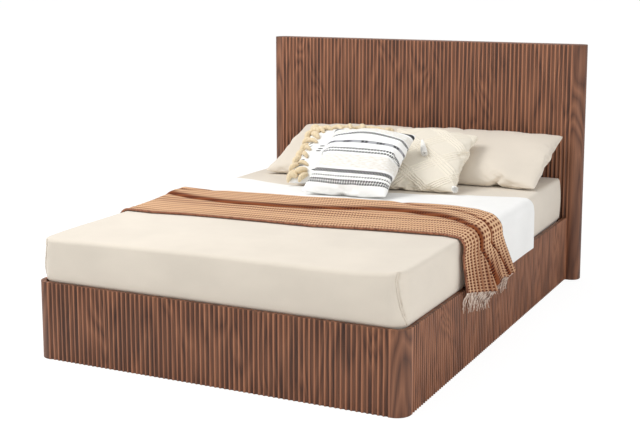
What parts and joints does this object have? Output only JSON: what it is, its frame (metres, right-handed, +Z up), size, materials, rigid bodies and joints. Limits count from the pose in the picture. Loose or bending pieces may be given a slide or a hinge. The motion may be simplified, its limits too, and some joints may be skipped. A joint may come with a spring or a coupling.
{
  "type": "ottoman bed",
  "caption": "Fluted walnut storage bed with a tall headboard; the dressed mattress platform lifts from the foot on gas struts to open the box.",
  "frame": {"origin": "on the floor under the middle of the bed, halfway between the foot face and the back of the headboard", "axes": "+Z up, +Y from the foot to the headboard, +X to the right of someone who looks from the foot towards the headboard"},
  "size_m": [1.66, 2.176, 1.138],
  "materials": {
    "walnut_veneer": "satin fluted walnut veneer",
    "lining_board": "plain matt board",
    "softwood": "planed softwood",
    "slat_birch": "lacquered birch",
    "zinc_steel": "zinc plated",
    "black_steel": "black powder coat",
    "webbing": "woven webbing",
    "fitted_sheet": "smooth cotton",
    "flat_sheet": "smooth white cotton",
    "throw_knit": "waffle knit",
    "pillowcase": "smooth cotton",
    "cushion_tufted": "cotton with looped tufts",
    "cushion_cream": "cotton with raised ribs",
    "cushion_striped": "woven cotton with dark stripes"
  },
  "bodies": {
    "root": {"foot_panel": "walnut_veneer", "side_panel_left": "walnut_veneer", "side_panel_right": "walnut_veneer", "corner_post_left": "walnut_veneer", "corner_post_right": "walnut_veneer", "headboard_panel": "walnut_veneer", "headboard_post_left": "walnut_veneer", "headboard_post_right": "walnut_veneer", "headboard_back": "walnut_veneer", "headboard_top_rail": "walnut_veneer", "headboard_bottom_rail": "lining_board", "head_end_wall": "lining_board", "storage_floor_left": "lining_board", "storage_floor_right": "lining_board", "floor_batten_foot": "softwood", "floor_batten_head": "softwood", "foot_ledge": "softwood", "side_ledge_left": "softwood", "side_ledge_right": "softwood", "corner_angle_left": "zinc_steel", "corner_angle_right": "zinc_steel", "lift_plate_left": "black_steel", "lift_plate_right": "black_steel"},
    "platform": {"platform_rail_left": "black_steel", "platform_rail_right": "black_steel", "platform_foot_rail": "black_steel", "platform_head_rail": "black_steel", "platform_centre_beam": "softwood", "slat_01": "slat_birch", "slat_02": "slat_birch", "slat_03": "slat_birch", "slat_04": "slat_birch", "slat_05": "slat_birch", "slat_06": "slat_birch", "slat_07": "slat_birch", "slat_08": "slat_birch", "slat_09": "slat_birch", "slat_10": "slat_birch", "slat_11": "slat_birch", "slat_12": "slat_birch", "mattress_retainer": "black_steel", "pull_strap": "webbing", "lift_bar_left": "black_steel", "lift_bar_right": "black_steel", "mattress": "fitted_sheet", "flat_sheet": "flat_sheet", "throw": "throw_knit", "pillow_left": "pillowcase", "pillow_right": "pillowcase", "cushion_tufted": "cushion_tufted", "cushion_diamond": "cushion_cream", "cushion_striped": "cushion_striped"},
    "rear_link_left": {"rear_link_left": "black_steel"},
    "front_link_left": {"front_link_left": "black_steel"},
    "strut_cylinder_left": {"strut_cylinder_left": "black_steel"},
    "strut_rod_left": {"strut_rod_left": "zinc_steel"},
    "rear_link_right": {"rear_link_right": "black_steel"},
    "front_link_right": {"front_link_right": "black_steel"},
    "strut_cylinder_right": {"strut_cylinder_right": "black_steel"},
    "strut_rod_right": {"strut_rod_right": "zinc_steel"}
  },
  "joints": [
    {"name": "platform_lift", "type": "hinge", "parent": "root", "child": "rear_link_left", "pos_m": [-0.7405, 0.375, 0.08], "axis": [1, 0, 0], "range_deg": [0, 58.8]},
    {"name": "platform_pivot", "type": "hinge", "parent": "rear_link_left", "child": "platform", "pos_m": [-0.7405, 0.586, 0.238], "axis": [-1, 0, 0], "range_deg": [0, 92.5]},
    {"name": "rear_link_right_pivot", "type": "hinge", "parent": "root", "child": "rear_link_right", "pos_m": [0.7405, 0.375, 0.08], "axis": [1, 0, 0], "range_deg": [0, 58.9]},
    {"name": "front_link_left_pivot", "type": "hinge", "parent": "root", "child": "front_link_left", "pos_m": [-0.7405, 0.11037, 0.062], "axis": [1, 0, 0], "range_deg": [0, 48.2]},
    {"name": "strut_left_pivot", "type": "hinge", "parent": "root", "child": "strut_cylinder_left", "pos_m": [-0.725, 0.747, 0.054], "axis": [1, 0, 0], "range_deg": [0, 3.7]},
    {"name": "strut_left_rod", "type": "slide", "parent": "strut_cylinder_left", "child": "strut_rod_left", "axis": [0, -0.9453, 0.3262], "range_m": [0, 0.0947]},
    {"name": "front_link_right_pivot", "type": "hinge", "parent": "root", "child": "front_link_right", "pos_m": [0.7405, 0.11037, 0.062], "axis": [1, 0, 0], "range_deg": [0, 48.2]},
    {"name": "strut_right_pivot", "type": "hinge", "parent": "root", "child": "strut_cylinder_right", "pos_m": [0.725, 0.747, 0.054], "axis": [1, 0, 0], "range_deg": [0, 3.7]},
    {"name": "strut_right_rod", "type": "slide", "parent": "strut_cylinder_right", "child": "strut_rod_right", "axis": [0, -0.9453, 0.3262], "range_m": [0, 0.0947]}
  ],
  "couplings": [
    {"joint": "platform_pivot", "follows": "platform_lift", "ratio": 1.5714},
    {"joint": "rear_link_right_pivot", "follows": "platform_lift", "ratio": 1},
    {"joint": "front_link_left_pivot", "follows": "platform_lift", "ratio": 0.81766},
    {"joint": "strut_left_pivot", "follows": "platform_lift", "ratio": 0.06132},
    {"joint": "strut_left_rod", "follows": "platform_lift", "m_per_rad": 0.09209},
    {"joint": "front_link_right_pivot", "follows": "platform_lift", "ratio": 0.81766},
    {"joint": "strut_right_pivot", "follows": "platform_lift", "ratio": 0.06132},
    {"joint": "strut_right_rod", "follows": "platform_lift", "m_per_rad": 0.09209}
  ]
}
